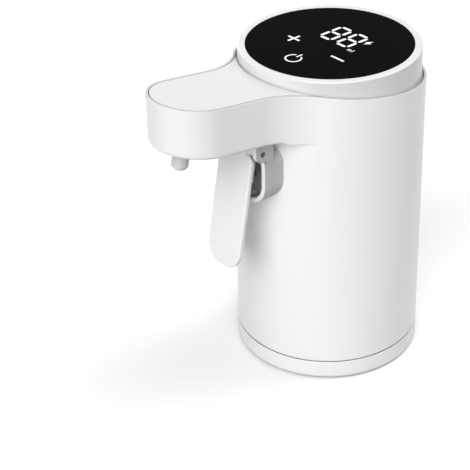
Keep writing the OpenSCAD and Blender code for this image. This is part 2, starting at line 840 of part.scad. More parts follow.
// Passages from the inlet barb to the gears and from the gears to the outlet barb
module pump_channels() {
    translate([0, 0, inlet_port_low - barb_len - 1])
        cylinder(r = channel_r, h = channel_h - inlet_port_low + barb_len + 1);
    translate([-channel_r/2, 0, channel_h]) rotate([0, 90, 0])
        cylinder(r = channel_r, h = pump_x - port_x + channel_r);
    translate([pump_x - port_x, 0, chamber_low]) cylinder(r = channel_r, h = channel_h - chamber_low);
    translate([outlet_x, 0, chamber_low]) cylinder(r = channel_r, h = channel_h - chamber_low);
    translate([outlet_x, channel_r/2, channel_h]) forward(channel_r, channel_r - outlet_y);
    translate([outlet_x, outlet_y, channel_h]) cylinder(r = channel_r, h = barb_len + barb_cut);
}

module gear_shape() {
    circle(gear_root_r);
    for (i = [0:gear_teeth - 1]) rotate(i*360/gear_teeth)
        polygon([[gear_root_r - 0.4, -gear_root_w/2], [gear_tip_r, -gear_tip_w/2],
            [gear_tip_r, gear_tip_w/2], [gear_root_r - 0.4, gear_root_w/2]]);
}

// Gear that stands in the chamber, turned so that the pair meshes
module gear(turn, bore_r) {
    translate([0, 0, chamber_low + gear_end_gap]) difference() {
        rotate([0, 0, turn]) linear_extrude(gear_h) gear_shape();
        translate([0, 0, -1]) cylinder(r = bore_r, h = gear_h + 2);
    }
}

module drive_gear() {
    color(steel) translate([pump_x, gear_pitch_r, 0]) gear(-90, shaft_d/2 + run_gap/5);
}

module idler_gear() {
    color(steel) translate([pump_x, -gear_pitch_r, 0]) gear(90 + 180/gear_teeth, shaft_d/2 + run_gap);
}

module idler_pin() {
    low = frame_top + pump_plate/2;
    color(steel) translate([pump_x, -gear_pitch_r, low])
        cylinder(d = shaft_d, h = chamber_top + pin_hold - low);
}

module motor() {
    color(steel) translate([pump_x, gear_pitch_r, 0]) difference() {
        union() {
            translate([0, 0, pump_top]) cylinder(r = motor_r, h = motor_len);
            translate([0, 0, pump_top - motor_boss_h]) cylinder(r = motor_boss_r, h = motor_boss_h + 1);
            translate([0, 0, motor_top - 1]) cylinder(r = motor_boss_r, h = 2);
        }
        translate([0, 0, pump_top - motor_boss_h - 1])
            cylinder(r = shaft_d/2 + run_gap, h = shaft_top + 1 - pump_top + motor_boss_h);
    }
}

module motor_shaft() {
    color(steel) translate([pump_x, gear_pitch_r, shaft_low])
        cylinder(d = shaft_d, h = shaft_top - shaft_low - 0.5);
}

// Unit vector, smooth curve through points, and a tube swept along a curve
function unit(v) = v/norm(v);
function curve_at(a, b, c, d, t) = 0.5*(2*b + (c - a)*t + (2*a - 5*b + 4*c - d)*t*t
    + (3*b - a - 3*c + d)*t*t*t);
function smooth(p, steps) = [for (i = [0:len(p) - 2]) for (k = [0:steps - 1])
    curve_at(p[max(i - 1, 0)], p[i], p[i + 1], p[min(i + 2, len(p) - 1)], k/steps), p[len(p) - 1]];
function heading(p, i) = unit(p[min(i + 1, len(p) - 1)] - p[max(i - 1, 0)]);

// Rings of the tube's outside, then of its bore where it has one
function tube_points(p, side, radii, n) = [for (r = radii) for (i = [0:len(p) - 1])
    let (t = heading(p, i), u = unit(cross(t, side)), v = cross(t, u))
    for (k = [0:n - 1]) p[i] + r*(cos(360*k/n)*u + sin(360*k/n)*v)];

// Faces between the rings of a tube
function tube_walls(rings, n) = [for (i = [0:rings - 2]) for (k = [0:n - 1])
    let (a = i*n + k, b = i*n + (k + 1)%n)
    each [[a, a + n, b], [b, a + n, b + n]]];

module tube(p, side, r, n) {
    top = (len(p) - 1)*n;
    ends = [for (k = [1:n - 2]) each [[0, k, k + 1], [top, top + k + 1, top + k]]];
    polyhedron(tube_points(p, side, [r], n), concat(tube_walls(len(p), n), ends));
}

module hollow_tube(p, side, r, bore, n) {
    top = (len(p) - 1)*n;
    m = len(p)*n;
    outside = tube_walls(len(p), n);
    inside = [for (f = outside) [f[0] + m, f[2] + m, f[1] + m]];
    ends = [for (k = [0:n - 1]) let (b = (k + 1)%n)
        each [[k, b, m + k], [b, m + b, m + k],
            [top + k, m + top + k, top + b], [top + b, m + top + k, m + top + b]]];
    polyhedron(tube_points(p, side, [r, bore], n), concat(outside, inside, ends));
}

module delivery_hose() {
    color(clear_grey)
        hollow_tube(smooth(hose_route, hose_steps), [1, 0, 0], hose_d/2, hose_flat_r, hose_sides);
}

module nozzle() {
    color(clear_grey) on_arm(nozzle_reach) difference() {
        union() {
            translate([0, 0, -nozzle_drop])
                cylinder(r1 = nozzle_r - nozzle_bevel, r2 = nozzle_r, h = nozzle_bevel);
            translate([0, 0, nozzle_bevel - nozzle_drop]) cylinder(r = nozzle_r, h = nozzle_drop + floor_t);
            translate([0, 0, floor_t]) cylinder(r = nozzle_flange_r, h = nozzle_flange_t);
            translate([0, 0, floor_t])
                cylinder(r = nozzle_block_r, h = nozzle_elbow_h + nozzle_bore_r - floor_t + 1);
            translate([0, 0, nozzle_elbow_h]) rotate([-90, 0, 0])
                cylinder(r = barb_r, h = nozzle_block_r + barb_len);
        }
        translate([0, 0, -nozzle_drop - 1])
            cylinder(r = nozzle_bore_r, h = nozzle_drop + nozzle_elbow_h + 1);
        translate([0, 0, nozzle_elbow_h]) rotate([-90, 0, 0])
            cylinder(r = channel_r, h = nozzle_block_r + barb_len + 1);
    }
}

module battery_cell() {
    color("royalblue") translate([cell_x, 0, frame_top]) {
        cylinder(r = cell_r, h = cell_len - cell_cap_h);
        translate([0, 0, cell_len - cell_cap_h]) cylinder(r = cell_r/3, h = cell_cap_h);
    }
}

module control_board() {
    color(board_green) difference() {
        translate([-control_w/2, board_y, frame_top]) cube([control_w, control_t, control_h]);
        at_board_screws() translate([0, 0, -1])
            cylinder(r = small_screw_d/2 + screw_gap, h = control_t + 2);
    }
}

module usb_board() {
    color(board_green) difference() {
        translate([-usb_board_w/2, usb_board_y - usb_board_t, usb_h - usb_board_h/2])
            cube([usb_board_w, usb_board_t, usb_board_h]);
        at_usb_screws() translate([0, 0, -usb_board_t - 1])
            cylinder(r = small_screw_d/2 + screw_gap, h = usb_screw_room);
    }
}

module usb_socket() {
    run = usb_w/2 - usb_t/2;
    half = usb_t/2;
    color(steel) at_usb() translate([0, usb_board_y + usb_depth, 0]) difference() {
        usb_bar(run, half, usb_depth);
        translate([0, 1, 0]) usb_bar(run, half - usb_shell, usb_depth - 0.5);
    }
}

// Flat bar with round edges that runs along -Y from the origin
module usb_bar(run, half, len) {
    for (side = [-1, 1]) translate([side*run, 0, 0]) forward(half, len);
    translate([-run, -len, -half]) cube([2*run, len, 2*half]);
}

module display_board() {
    color(board_green) difference() {
        translate([0, 0, board_low]) cylinder(r = lens_r, h = board_t);
        at_display_screws() translate([0, 0, -board_t - 1])
            cylinder(r = small_screw_d/2 + screw_gap, h = board_t + 2);
    }
}

module digit_display() {
    margin = 2;
    w = 2*digit_w + digit_pitch;
    color(dark_plastic) translate([digit_x - w/2, digit_y - digit_h/2 - margin, board_top])
        cube([w, digit_h + 2*margin, ledge_top - board_top]);
}

module touch_contacts() {
    for (p = [plus_at, minus_at, power_at])
        color(steel) translate([p[0], p[1], board_top]) ring(2.4, 1.6, ledge_top - board_top);
}

module display_lens() {
    color(black) difference() {
        translate([0, 0, ledge_top]) cylinder(r = lens_r, h = lens_t);
        translate([0, 0, display_top - symbol_t]) linear_extrude(symbol_t + 1) symbols(symbol_gap);
    }
}

module display_symbols() {
    color(glow) translate([0, 0, display_top - symbol_t]) linear_extrude(symbol_t) symbols(0);
}

// All lit symbols, grown by a gap
module symbols(grow) {
    for (side = [-1, 1]) translate([digit_x + side*digit_pitch/2, digit_y]) digit(grow);
    for (turn = [0, 90]) translate(plus_at) rotate(turn) bar(plus_len, mark_stroke, grow);
    translate(minus_at) bar(minus_len, mark_stroke, grow);
    translate(power_at) power_mark(grow);
    translate(bolt_at) bolt(grow);
    translate(unit_at) unit_mark(grow);
}

module bar(len, w, grow) {
    square([len + 2*grow, w + 2*grow], center = true);
}

// Seven-segment digit with pointed segments
module digit(grow) {
    for (row = [-1, 0, 1]) translate([0, row*digit_h/2]) segment(digit_w, grow);
    for (row = [-1, 1]) for (side = [-1, 1])
        translate([side*digit_w/2, row*digit_h/4]) rotate(90) segment(digit_h/2, grow);
}

module segment(len, grow) {
    half = stroke/2 + grow;
    end = len/2 - segment_gap + grow;
    polygon([[-end, 0], [half - end, half], [end - half, half],
        [end, 0], [end - half, -half], [half - end, -half]]);
}

module power_mark(grow) {
    gap_half = 1.1;
    difference() {
        circle(power_r + power_stroke/2 + grow);
        circle(power_r - power_stroke/2 - grow);
        translate([grow - gap_half, 0]) square([2*gap_half - 2*grow, power_r + power_stroke]);
    }
    translate([0, power_r]) rotate(90) bar(power_bar, power_stroke, grow);
}

// Two triangles that cross
module bolt(grow) {
    k = 1 + grow/bolt_edge;
    for (turn = [0, 180]) rotate(turn) polygon([for (p = bolt_corners) bolt_mid + k*(p - bolt_mid)]);
}

// Plain millilitre mark: three stems and a bar for the first letter, one tall stem for the second
module unit_mark(grow) {
    w = 0.22;
    pitch = 0.58;
    stem = 1.05;
    for (i = [-1:1]) translate([i*pitch - pitch, 0]) bar(w, stem, grow);
    translate([-pitch, stem/2 - w/4]) bar(2*pitch + w/2, w, grow);
    translate([1.3*pitch, stem/4]) bar(w, 1.5*stem, grow);
}

// Outline of the pocket seen from the front: upright sides and round corners
module pocket_shape(inset) {
    half = pocket_w/2 - inset;
    low = pocket_bottom + inset;
    top = pocket_top - inset;
    r = pocket_round - inset;
    top_r = pocket_top_round - inset;
    translate([-half, low + r]) square([2*half, top - top_r - low - r]);
    translate([r - half, low]) square([2*half - 2*r, r + 1]);
    translate([top_r - half, top - top_r - 1]) square([2*half - 2*top_r, top_r + 1]);
    for (side = [-1, 1]) translate([side*(half - r), low + r]) circle(r);
    for (side = [-1, 1]) translate([side*(half - top_r), top - top_r]) circle(top_r);
}

// Room inside the pocket, open at the top for the trigger's hub
module pocket_room() {
    pocket_shape(pocket_wall);
    translate([-pocket_slot_w/2, plunger_up]) square([pocket_slot_w, tall - plunger_up]);
}

module trigger_bracket() {
    color(white) difference() {
        union() {
            difference() {
                rotate([90, 0, 0]) linear_extrude(pocket_front) pocket_shape(0);
                translate([0, -pocket_back, 0]) rotate([90, 0, 0])
                    linear_extrude(pocket_front) pocket_room();
                cylinder(r = body_r + fit_gap, h = tall);
            }
            for (side = [-1, 1]) translate([side*(pocket_w - pocket_wall)/2, 0, 0]) ear();
            translate([-plug_w/2, -pocket_back + 0.5, plug_low])
                cube([plug_w, pocket_back - 0.5 - plug_rear, plug_h]);
        }
        above(low_h - fit_gap);
        translate([0, -pivot_out, pivot_up]) along_x(pin_r + run_gap/2, 2*pocket_w);
        translate([0, 0, plunger_up]) forward(plunger_hole_r, 2*body_r);
        at_bracket_screws() rotate([-90, 0, 0]) screw_hole(small_screw_d, bracket_screw_len + 0.2);
        at_switch_screws() rotate([-90, 0, 0]) screw_hole(small_screw_d, 3);
    }
}

// Tab around the hinge pin, with a strip down into the pocket's side wall
module ear() {
    strip_y = ear_inset - pocket_front;
    translate([-pocket_wall/2, 0, 0]) rotate([90, 0, 90]) linear_extrude(pocket_wall) {
        translate([-pivot_out, pivot_up]) circle(ear_r);
        translate([-pivot_out - ear_r, pivot_up]) square([ear_r + ear_back, tall - pivot_up]);
        translate([strip_y, ear_low]) square([ear_back - pivot_out - strip_y, pivot_up - ear_low + 1]);
    }
}

module at_switch_screws() {
    for (side = [-1, 1]) translate([0, -plug_rear, plunger_up + side*switch_screw_off]) children();
}

module trigger() {
    color(white) on_trigger() difference() {
        union() {
            translate([0, paddle_back, 0]) rotate([90, 0, 0]) linear_extrude(paddle_t) paddle_shape();
            along_x(hub_r, paddle_w);
            translate([-pad_w/2, paddle_back - paddle_t/2, pad_low])
                cube([pad_w, pad_depth - paddle_back + paddle_t/2, pad_top - pad_low]);
            translate([-nose_w/2, paddle_back - paddle_t/2, nose_low])
                cube([nose_w, nose_depth - paddle_back + paddle_t/2, nose_top - nose_low]);
        }
        along_x(pin_r + run_gap, 2*paddle_w);
    }
}

module paddle_shape() {
    half = paddle_w/2;
    neck = half - paddle_top_round;
    top = -hub_r - hub_slot - paddle_top_round;
    translate([-half, paddle_round - paddle_len]) square([paddle_w, top + paddle_len - paddle_round]);
    translate([paddle_round - half, -paddle_len]) square([paddle_w - 2*paddle_round, paddle_round + 1]);
    translate([-neck, top - 1]) square([2*neck, 1 - top]);
    for (side = [-1, 1]) {
        translate([side*(half - paddle_round), paddle_round - paddle_len]) circle(paddle_round);
        translate([side*neck, top]) circle(paddle_top_round);
    }
}

module trigger_pin() {
    color(steel) translate([0, -pivot_out, pivot_up]) along_x(pin_r, pocket_w - 2*pin_recess);
}

// Helix along -Y from the pocket's back wall to the trigger's pad, and the least gap between its turns
spring_path = [for (i = [0:spring_turns*spring_rings])
    let (a = 360*i/spring_rings)
    [spring_r*cos(a), spring_start + (spring_end - spring_start)*i/(spring_turns*spring_rings),
        spring_h + spring_r*sin(a)]];
spring_gap = min([for (i = [0:len(spring_path) - 1 - spring_rings])
    norm(spring_path[i + spring_rings] - spring_path[i])]) - 2*spring_wire_r;
echo(spring_gap = spring_gap);

module trigger_spring() {
    color(steel) tube(spring_path, [0, 1, 0], spring_wire_r, 6);
}

module switch_body() {
    color(dark_plastic) difference() {
        translate([-switch_w/2, -plug_rear, switch_low]) cube([switch_w, switch_depth, switch_h]);
        translate([0, switch_depth - switch_back - plug_rear, plunger_up])
            forward(plunger_r + run_gap, switch_depth);
        at_switch_screws() translate([0, -1, 0]) rotate([-90, 0, 0])
            cylinder(r = small_screw_d/2 + screw_gap, h = switch_depth + 2);
    }
}

module switch_plunger() {
    color(black) translate([0, plunger_tip + plunger_len, plunger_up]) {
        forward(plunger_r, plunger_len - plunger_bevel);
        translate([0, plunger_bevel - plunger_len, 0]) rotate([90, 0, 0])
            cylinder(r1 = plunger_r, r2 = plunger_r - plunger_bevel, h = plunger_bevel);
    }
}

module base_screws() {
    color(steel) at_columns() translate([0, 0, head_h + head_recess]) mirror([0, 0, 1])
        screw(screw_d, base_screw_len - 2);
}

module frame_screws() {
    color(steel) at_columns() translate([0, 0, frame_top]) screw(screw_d, frame_t + frame_screw_len - 1);
}

module pump_screws() {
    color(steel) at_pump_screws() translate([0, 0, socket_top + head_h]) mirror([0, 0, 1])
        screw(screw_d, pump_screw_len);
}

module lid_screws() {
    color(steel) at_lid_screws() translate([0, 0, head_h + 0.2]) mirror([0, 0, 1])
        screw(screw_d, floor_t + lid_screw_len - head_h - 0.7);
}

module board_screws() {
    color(steel) at_board_screws() translate([0, 0, control_t]) screw(small_screw_d, control_t + 2.5);
}

module display_screws() {
    color(steel) at_display_screws() translate([0, 0, -board_t]) mirror([0, 0, 1])
        screw(small_screw_d, board_t + post_h - 0.6);
}

module bracket_screws() {
    color(steel) at_bracket_screws() rotate([-90, 0, 0]) screw(small_screw_d, bracket_screw_len);
}

module switch_screws() {
    color(steel) at_switch_screws() translate([0, switch_depth, 0]) rotate([-90, 0, 0])
        screw(small_screw_d, switch_depth + 2.8);
}

module usb_screws() {
    color(steel) at_usb_screws() translate([0, 0, -usb_board_t]) mirror([0, 0, 1])
        screw(small_screw_d, usb_board_t + usb_hold);
}

main_housing();
top_cover();
base_cover();
bottle_socket();
bottle_stopper();
seat_gasket();
inlet_fitting();
suction_hose();
inner_frame();
pump_cover();
pump_body();
drive_gear();
idler_gear();
idler_pin();
motor();
motor_shaft();
delivery_hose();
nozzle();
battery_cell();
control_board();
usb_board();
usb_socket();
display_board();
digit_display();
touch_contacts();
display_lens();
display_symbols();
trigger_bracket();
trigger();
trigger_pin();
trigger_spring();
switch_body();
switch_plunger();
base_screws();
frame_screws();
pump_screws();
lid_screws();
board_screws();
display_screws();
bracket_screws();
switch_screws();
usb_screws();
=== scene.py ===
import bpy, bmesh, json, math
from mathutils import Matrix, Vector

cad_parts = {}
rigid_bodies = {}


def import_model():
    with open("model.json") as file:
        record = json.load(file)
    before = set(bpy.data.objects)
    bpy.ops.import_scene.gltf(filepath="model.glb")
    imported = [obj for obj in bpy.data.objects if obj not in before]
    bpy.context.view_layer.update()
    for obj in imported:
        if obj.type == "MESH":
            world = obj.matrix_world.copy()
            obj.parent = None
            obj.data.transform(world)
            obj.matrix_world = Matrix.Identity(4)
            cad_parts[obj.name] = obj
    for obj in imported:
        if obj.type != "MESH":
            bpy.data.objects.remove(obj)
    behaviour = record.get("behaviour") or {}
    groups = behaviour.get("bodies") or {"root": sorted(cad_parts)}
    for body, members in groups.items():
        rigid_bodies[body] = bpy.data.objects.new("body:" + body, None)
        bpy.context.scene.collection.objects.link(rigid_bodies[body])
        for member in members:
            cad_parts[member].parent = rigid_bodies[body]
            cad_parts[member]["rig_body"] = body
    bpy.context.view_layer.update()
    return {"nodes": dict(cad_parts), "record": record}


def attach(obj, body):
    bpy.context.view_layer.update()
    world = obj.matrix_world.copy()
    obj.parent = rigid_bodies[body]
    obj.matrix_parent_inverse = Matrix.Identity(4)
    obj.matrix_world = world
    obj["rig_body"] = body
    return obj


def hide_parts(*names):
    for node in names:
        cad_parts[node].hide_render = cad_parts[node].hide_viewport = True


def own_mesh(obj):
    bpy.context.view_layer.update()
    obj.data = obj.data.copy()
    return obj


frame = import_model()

nodes = frame["nodes"]
mm = 0.001  # the frame is in metres
print("frame loaded:", len(nodes), "nodes")


# Materials

tone = {"scale": 60, "detail": 4.0, "rough": 0.55, "ramp": (0.35, 0.65)}  # slow change of the colour
wear = {"scale": 240, "detail": 5.0, "rough": 0.6, "ramp": (0.3, 0.7)}  # change of the roughness
grain = {"scale": 1800, "detail": 2.0, "rough": 0.55, "strength": 0.05, "depth": 0.0001}  # fine bumps


def linkNoise(tree, coords, spec, scale):
    noise = tree.nodes.new("ShaderNodeTexNoise")
    noise.inputs["Scale"].default_value = scale
    noise.inputs["Detail"].default_value = spec["detail"]
    noise.inputs["Roughness"].default_value = spec["rough"]
    tree.links.new(coords.outputs["Object"], noise.inputs["Vector"])
    return noise.outputs["Fac"]


def linkRamp(tree, source, low, high, spec):
    ramp = tree.nodes.new("ShaderNodeValToRGB")
    first, last = ramp.color_ramp.elements
    first.position, last.position = spec["ramp"]
    first.color = (*low, 1)
    last.color = (*high, 1)
    tree.links.new(source, ramp.inputs["Fac"])
    return ramp.outputs["Color"]


def makeMaterial(name, spec):
    material = bpy.data.materials.new(name)
    material.use_nodes = True
    tree = material.node_tree
    shader = tree.nodes["Principled BSDF"]
    coords = tree.nodes.new("ShaderNodeTexCoord")
    toneNoise = linkNoise(tree, coords, tone, spec.get("toneScale", tone["scale"]))
    colour = linkRamp(tree, toneNoise, spec["dark"], spec["light"], tone)
    tree.links.new(colour, shader.inputs["Base Color"])
    wearNoise = linkNoise(tree, coords, wear, wear["scale"])
    low, high = spec["rough"]
    roughness = linkRamp(tree, wearNoise, (low,)*3, (high,)*3, wear)
    tree.links.new(roughness, shader.inputs["Roughness"])
    grainNoise = linkNoise(tree, coords, grain, grain["scale"])
    bump = tree.nodes.new("ShaderNodeBump")
    bump.inputs["Strength"].default_value = spec.get("grain", grain["strength"])
    bump.inputs["Distance"].default_value = grain["depth"]
    tree.links.new(grainNoise, bump.inputs["Height"])
    tree.links.new(bump.outputs["Normal"], shader.inputs["Normal"])
    for socket, value in spec.get("sockets", {}).items():
        shader.inputs[socket].default_value = value
    return material


plasticGloss = {"Specular IOR Level": 0.4, "Coat Weight": 0.15, "Coat Roughness": 0.15}
materialSpecs = {
    "whitePlastic": {"dark": (0.838, 0.838, 0.842), "light": (0.844, 0.844, 0.848),
        "rough": (0.29, 0.31), "grain": 0.003, "sockets": plasticGloss},
    # painted shade: a darker copy of the white plastic for the lid, whose top gets more light
    "lidShadedPlastic": {"dark": (0.657, 0.657, 0.661), "light": (0.663, 0.663, 0.667),
        "rough": (0.29, 0.31), "grain": 0.003, "sockets": plasticGloss},
    # painted shade: a grey and a deeper grey that stand for the shade in seams, gaps, recesses, holes and on
    # the pocket's sides
    "paintedShadeGrey": {"dark": (0.48, 0.48, 0.49), "light": (0.53, 0.53, 0.54),
        "rough": (0.5, 0.6), "grain": 0.003},
    "grooveGrey": {"dark": (0.22, 0.22, 0.23), "light": (0.26, 0.26, 0.27),
        "rough": (0.5, 0.6), "grain": 0.003},
    "blackLens": {"dark": (0.0022, 0.0022, 0.0024), "light": (0.0028, 0.0028, 0.003),
        "rough": (0.14, 0.18), "grain": 0.004, "sockets": {"Specular IOR Level": 0.004}},
    "litSymbols": {"dark": (0.10, 0.10, 0.10), "light": (0.14, 0.14, 0.14),
        "rough": (0.4, 0.5), "sockets": {"Emission Color": (1, 1, 1, 1), "Emission Strength": 0.9}},
    "clearPlastic": {"dark": (0.78, 0.79, 0.80), "light": (0.82, 0.83, 0.84),
        "rough": (0.22, 0.3), "grain": 0.03,
        "sockets": {"Subsurface Weight": 0.15, "Subsurface Scale": 0.002}},
    "nozzlePlastic": {"dark": (0.60, 0.60, 0.59), "light": (0.64, 0.64, 0.63),
        "rough": (0.25, 0.32), "grain": 0.03},
    "softSilicone": {"dark": (0.70, 0.70, 0.69), "light": (0.75, 0.75, 0.74),
        "rough": (0.5, 0.62), "grain": 0.12},
    "brightSteel": {"dark": (0.55, 0.56, 0.58), "light": (0.66, 0.67, 0.69),
        "rough": (0.2, 0.34), "grain": 0.06, "sockets": {"Metallic": 1.0}},
    # painted shade: dark steel for the pin's ends in their holes
    "pinShadeSteel": {"dark": (0.05, 0.05, 0.055), "light": (0.08, 0.08, 0.085),
        "rough": (0.35, 0.45), "grain": 0.06, "sockets": {"Metallic": 1.0}},
    "darkPlastic": {"dark": (0.022, 0.022, 0.025), "light": (0.035, 0.035, 0.038),
        "rough": (0.4, 0.55), "grain": 0.1},
    "greenBoard": {"dark": (0.012, 0.08, 0.035), "light": (0.02, 0.12, 0.055),
        "rough": (0.3, 0.45), "toneScale": 320, "grain": 0.06},
    "cellSleeve": {"dark": (0.03, 0.10, 0.34), "light": (0.04, 0.13, 0.42),
        "rough": (0.28, 0.4), "grain": 0.05}}
materials = {name: makeMaterial(name, spec) for name, spec in materialSpecs.items()}

finishes = {
    "white_plastic": "whitePlastic", "silicone": "softSilicone", "steel": "brightSteel",
    "clear_plastic": "clearPlastic", "dark_plastic": "darkPlastic", "circuit_board": "greenBoard",
    "cell_case": "cellSleeve", "black_lens": "blackLens", "lit_symbols": "litSymbols"}
slotOf = {part["node"]: part["material_slot"] for part in frame["record"]["subparts"]}


def finishOf(nodeName):
    return materials[finishes[slotOf[nodeName]]]


for nodeName, node in nodes.items():
    node.data.materials.clear()
    node.data.materials.append(finishOf(nodeName))
nodes["trigger_pin"].data.materials[0] = materials["pinShadeSteel"]  # painted shade: the pin is made dark so that its ends read as dark holes
print("materials made:", len(materials))


# Rounded copies of the visible mouldings

# Sizes of the solids in millimetres, the tilt in degrees
sizes = {"bodyRadius": 30, "shoulder": 98.6, "seam": 7, "seamLine": 0.5,
    "displayRise": 7.3, "bezelRadius": 28.8,
    "armTilt": 8, "armDepth": 15.6, "armWidth": 26.4, "nozzleReach": 58.9, "tipReach": 8.8}
bodyRadius = sizes["bodyRadius"]
shoulder = sizes["shoulder"]
tilt = math.radians(sizes["armTilt"])
slope = math.tan(tilt)
underside = shoulder - sizes["armDepth"]/math.cos(tilt)
tipCentre = sizes["armWidth"]/2 - sizes["nozzleReach"] - sizes["tipReach"]

facing = {"level": 0.9, "upright": 0.2}  # a normal's z, least for a level face and most for a wall
near = {"slope": 0.05, "height": 0.02, "front": 0.03}  # how far off a plane an edge's middle may lie
recess = {"low": -1.9, "high": -0.1}  # heights of the walls around the lid, from the shoulder's plane
paint = {"plastic": 0, "seam": 1, "groove": 2}  # places of the materials on a rounded copy: seam is painted shade, groove a deeper painted shade
rounding = {"merge": 2e-6,  # metres
    "flat": 0.4, "edgeAngle": 35, "smoothAngle": 32,  # degrees
    "profile": 0.5}


def overPlane(p, height):
    return p.z/mm - (height - p.y/mm*slope)


def leavesCentre(p, normal):
    # True where a wall faces away from the arm's middle line or the body's axis
    spine = Vector((0, max(tipCentre*mm, min(0, p.y)), 0))
    return (p.x - spine.x)*normal.x + (p.y - spine.y)*normal.y > 0


def radius(p):
    return Vector((p.x, p.y)).length/mm


def atHeight(p, height):
    return abs(p.z/mm - height) < near["height"]


def meetsWall(faces, upSign):
    # One face of the edge lies level, facing up or down, and the other stands upright
    a, b = faces
    for level, upright in ((a, b), (b, a)):
        if level.normal.z*upSign > facing["level"] and abs(upright.normal.z) < facing["upright"]:
            return upright
    return None


def slopingEdge(p, faces, height, upSign, outward=True):
    # An edge between a sloping face and its outer wall, or its inner one
    wall = meetsWall(faces, upSign)
    if wall is None or abs(overPlane(p, height)) >= near["slope"]:
        return False
    return leavesCentre(p, wall.normal) == outward


def recessWall(p, normal, outward):
    # An upright wall in the gap around the lid, the lid's own or the housing's
    inGap = recess["low"] < overPlane(p, shoulder) < recess["high"]
    return inGap and abs(normal.z) < facing["upright"] and leavesCentre(p, normal) == outward


def roundedCopy(nodeName, pieceName, rules, seam=None, plastic=None):
    work = bmesh.new()
    work.from_mesh(nodes[nodeName].data)
    flatAngle = math.radians(rounding["flat"])
    bmesh.ops.remove_doubles(work, verts=work.verts[:], dist=rounding["merge"])
    bmesh.ops.dissolve_limit(work, angle_limit=flatAngle, verts=work.verts[:], edges=work.edges[:])
    picked = 0
    for rule in rules:
        work.normal_update()
        leastAngle = math.radians(rule.get("angle", rounding["edgeAngle"]))
        chosen = []
        for edge in work.edges:
            if len(edge.link_faces) != 2 or edge.calc_face_angle(0) < leastAngle:
                continue
            middle = (edge.verts[0].co + edge.verts[1].co)/2
            if rule["test"](middle, edge.link_faces):
                chosen.append(edge)
        picked += len(chosen)
        bmesh.ops.bevel(work, geom=chosen, offset=rule["width"]*mm, offset_type="OFFSET",
            segments=rule["segments"], profile=rounding["profile"], affect="EDGES", clamp_overlap=False)
    work.normal_update()
    # seam, where given, picks a painted shade for each face
    for face in work.faces:
        face.smooth = True
        face.material_index = seam(face.calc_center_median(), face.normal) if seam else paint["plastic"]
    smoothAngle = math.radians(rounding["smoothAngle"])
    for edge in work.edges:
        edge.smooth = edge.is_contiguous and edge.calc_face_angle(0) < smoothAngle
    mesh = bpy.data.meshes.new(pieceName)
    work.to_mesh(mesh)
    work.free()
    mesh.materials.append(plastic or finishOf(nodeName))
    # painted shade: a grey and a deeper grey for the faces that seam picks
    if seam:
        mesh.materials.append(materials["paintedShadeGrey"])
        mesh.materials.append(materials["grooveGrey"])
    piece = bpy.data.objects.new(pieceName, mesh)
    bpy.context.scene.collection.objects.link(piece)
    weighted = piece.modifiers.new("weighted", "WEIGHTED_NORMAL")
    weighted.keep_sharp = True
    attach(piece, nodes[nodeName]["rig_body"])
    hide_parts(nodeName)
    print(pieceName, "rounded:", picked, "edges")


# Main housing
housingSpec = {"rim": 0.14, "rimInside": 0.08, "armEdge": 1.2, "foot": 0.2,  # widths of the roundings
    "armStart": bodyRadius + 0.5, "footInside": bodyRadius - 0.5,  # where the arm's edge and the foot begin
    "rimFacing": 0.8, "rimSlack": 0.15, "recessInside": bodyRadius - 1.1}  # faces painted with shade along the seam


def housingRim(p, faces):
    return slopingEdge(p, faces, shoulder, 1)


def housingRimInside(p, faces):
    return slopingEdge(p, faces, shoulder, 1, outward=False)


def armLowerEdge(p, faces):
    return p.y/mm < -housingSpec["armStart"] and slopingEdge(p, faces, underside, -1)


def housingFoot(p, faces):
    return atHeight(p, sizes["seam"]) and radius(p) > housingSpec["footInside"]


def housingPaintedShade(p, normal):
    # Painted shade on the rim's flat top and on the upright walls of the recess that holds the lid
    if normal.z > housingSpec["rimFacing"] and abs(overPlane(p, shoulder)) < housingSpec["rimSlack"]:
        return paint["seam"]
    if recessWall(p, normal, outward=False) and radius(p) > housingSpec["recessInside"]:
        return paint["seam"]
    return paint["plastic"]


roundedCopy("main_housing", "mainHousing", [
    {"test": housingRim, "width": housingSpec["rim"], "segments": 2},
    {"test": housingRimInside, "width": housingSpec["rimInside"], "segments": 2},
    {"test": armLowerEdge, "width": housingSpec["armEdge"], "segments": 5},
    {"test": housingFoot, "width": housingSpec["foot"], "segments": 3}], seam=housingPaintedShade)


# Top cover with the bezel
bezelRadius = sizes["bezelRadius"]
displayTop = shoulder + sizes["displayRise"]
coverSpec = {"bezelTop": 0.45, "bezelInside": 0.2, "lidEdge": 0.1,  # widths of the roundings
    "topFrom": bezelRadius - 0.8, "insideTo": bezelRadius - 1.8, "lidFrom": bezelRadius + 0.8,  # their radii
    "grooveLow": -0.4, "grooveHigh": -0.2, "grooveTo": bezelRadius + 0.3,  # floor of the groove, painted dark as shade
    "edgeFrom": bezelRadius - 0.2}  # lid's edge painted with shade


def bezelTop(p, faces):
    return atHeight(p, displayTop) and radius(p) > coverSpec["topFrom"]


def bezelInside(p, faces):
    return atHeight(p, displayTop) and radius(p) < coverSpec["insideTo"]


def lidEdge(p, faces):
    return radius(p) > coverSpec["lidFrom"] and slopingEdge(p, faces, shoulder, 1)


def lidPaintedShade(p, normal):
    # Painted shade on the lid's own edge inside the recess, and deeper painted shade on the floor of the
    # groove around the bezel's foot
    grooveFloor = coverSpec["grooveLow"] < overPlane(p, shoulder) < coverSpec["grooveHigh"]
    if grooveFloor and normal.z > facing["level"] and radius(p) < coverSpec["grooveTo"]:
        return paint["groove"]
    if recessWall(p, normal, outward=True) and radius(p) > coverSpec["edgeFrom"]:
        return paint["seam"]
    return paint["plastic"]


